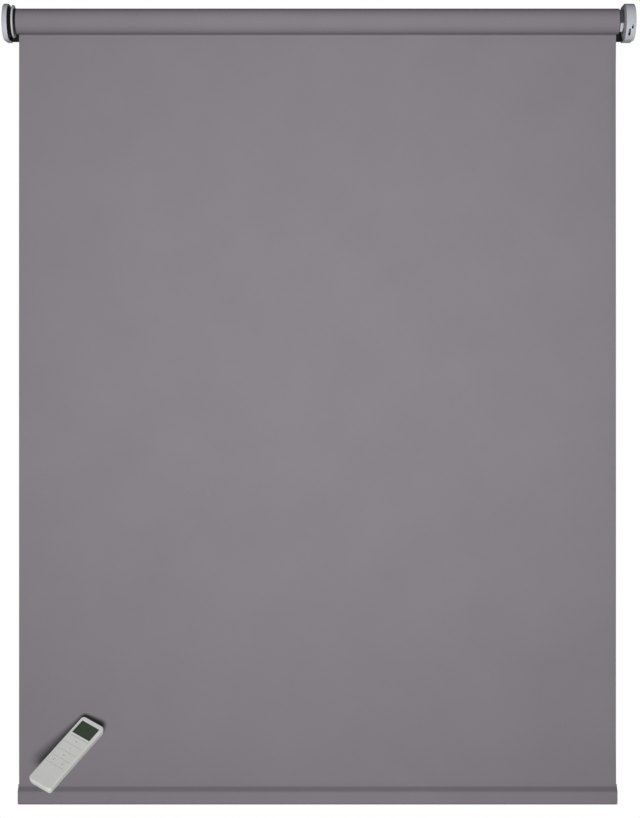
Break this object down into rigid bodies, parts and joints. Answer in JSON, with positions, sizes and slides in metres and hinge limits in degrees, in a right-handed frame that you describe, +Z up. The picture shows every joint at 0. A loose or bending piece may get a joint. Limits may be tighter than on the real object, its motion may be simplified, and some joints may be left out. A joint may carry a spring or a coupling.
{
  "type": "motorized roller blind",
  "caption": "Wall-mounted motorized roller blind with a tubular motor, grey cloth, round end covers, a hem bar and a white hand-held remote with a screen and keys.",
  "frame": {"origin": "centre of the rectangle of the four wall screw holes: mid-width, on the wall plane, level with the roller's axis", "axes": "+X along the roller towards the motor end, +Y into the wall, +Z up"},
  "size_m": [1.0472, 0.1366, 1.3365],
  "materials": {
    "cloth": "plain weave",
    "silver_cover": "silver satin",
    "grey_bezel": "silver satin",
    "black_steel": "black powder coat",
    "black_plastic": "moulded",
    "grey_plastic": "moulded",
    "cap_grey": "moulded",
    "polished_metal": "polished",
    "steel": "plain",
    "aluminium": "mill",
    "strip_plastic": "extruded",
    "circuit_board": "solder mask",
    "cell_wrap": "shrink wrap",
    "switch_black": "moulded",
    "button_grey": "moulded",
    "lamp_clear": "diffuse",
    "remote_white": "fine satin",
    "remote_glass": "clear",
    "remote_display": "grey-green liquid crystal",
    "keypad_rubber": "moulded"
  },
  "bodies": {
    "mounting": {"cloth_sheet": "cloth", "idler_cover": "silver_cover", "motor_cover": "silver_cover", "motor_bezel": "grey_bezel", "idler_bracket": "black_steel", "motor_bracket": "black_steel", "idler_hub": "black_plastic", "end_cap": "black_plastic", "battery_tray": "black_plastic", "receiver_housing": "black_plastic", "motor_head": "polished_metal", "motor_tube": "polished_metal", "output_bearing": "steel", "gearbox": "steel", "electric_motor": "steel", "head_clip": "steel", "idler_hub_screws": "steel", "receiver_screws": "steel", "charging_socket": "steel", "receiver_board": "circuit_board", "driver_board": "circuit_board", "battery_cells": "cell_wrap", "program_switch": "switch_black", "status_lamp": "lamp_clear"},
    "roller": {"roller_tube": "aluminium", "cloth_roll": "cloth", "cloth_strip": "strip_plastic", "idler_plug": "black_plastic", "idler_flange": "grey_plastic", "idler_flange_screws": "steel", "idler_spring": "steel", "drive_wheel": "black_plastic", "drive_wheel_screw": "steel", "output_shaft": "steel", "crown_ring": "black_plastic"},
    "idler_pin": {"idler_pin": "steel"},
    "hem": {"hem_sleeve": "cloth", "bottom_bar": "aluminium", "bar_cap_left": "cap_grey", "bar_cap_right": "cap_grey"},
    "program_button": {"program_button": "button_grey"},
    "remote": {"remote_front_shell": "remote_white", "remote_back_shell": "remote_white", "remote_window": "remote_glass", "remote_screen": "remote_display", "remote_board": "circuit_board", "remote_keypad": "keypad_rubber", "remote_coin_cell": "steel", "remote_cell_clip": "steel", "remote_screws": "steel"},
    "remote_battery_cover": {"remote_battery_cover": "remote_white"},
    "key_up": {"key_up": "remote_white"},
    "key_stop": {"key_stop": "remote_white"},
    "key_down": {"key_down": "remote_white"},
    "key_previous": {"key_previous": "remote_white"},
    "key_next": {"key_next": "remote_white"}
  },
  "joints": [
    {"name": "roller_spin", "type": "hinge", "parent": "mounting", "child": "roller", "pos_m": [0, -0.038, 0], "axis": [1, 0, 0], "range_deg": [0, 3300]},
    {"name": "lift", "type": "slide", "parent": "mounting", "child": "hem", "axis": [0, 0, 1], "range_m": [0, 1.227], "deforming": ["cloth_sheet"]},
    {"name": "idler_pin_slide", "type": "slide", "parent": "roller", "child": "idler_pin", "axis": [1, 0, 0], "range_m": [0, 0.01], "stiffness_N_per_m": 300, "springref_m": -0.012, "deforming": ["idler_spring"]},
    {"name": "program_button_press", "type": "slide", "parent": "mounting", "child": "program_button", "axis": [0, 0.9135, 0.4067], "range_m": [0, 0.0005], "stiffness_N_per_m": 800, "springref_m": -0.0004},
    {"name": "remote_lift_off", "type": "slide", "parent": "mounting", "child": "remote", "axis": [0, -1, 0], "range_m": [0, 0.15]},
    {"name": "remote_battery_cover_slide", "type": "slide", "parent": "remote", "child": "remote_battery_cover", "axis": [-0.5446, -0.593, -0.593], "range_m": [0, 0.045]},
    {"name": "key_up_press", "type": "slide", "parent": "remote", "child": "key_up", "axis": [0, 0.7071, -0.7071], "range_m": [0, 0.0006], "stiffness_N_per_m": 600, "springref_m": -0.0004},
    {"name": "key_stop_press", "type": "slide", "parent": "remote", "child": "key_stop", "axis": [0, 0.7071, -0.7071], "range_m": [0, 0.0006], "stiffness_N_per_m": 600, "springref_m": -0.0004},
    {"name": "key_down_press", "type": "slide", "parent": "remote", "child": "key_down", "axis": [0, 0.7071, -0.7071], "range_m": [0, 0.0006], "stiffness_N_per_m": 600, "springref_m": -0.0004},
    {"name": "key_previous_press", "type": "slide", "parent": "remote", "child": "key_previous", "axis": [0, 0.7071, -0.7071], "range_m": [0, 0.0006], "stiffness_N_per_m": 600, "springref_m": -0.0004},
    {"name": "key_next_press", "type": "slide", "parent": "remote", "child": "key_next", "axis": [0, 0.7071, -0.7071], "range_m": [0, 0.0006], "stiffness_N_per_m": 600, "springref_m": -0.0004}
  ],
  "couplings": [
    {"joint": "lift", "follows": "roller_spin", "m_per_rad": 0.0213}
  ]
}
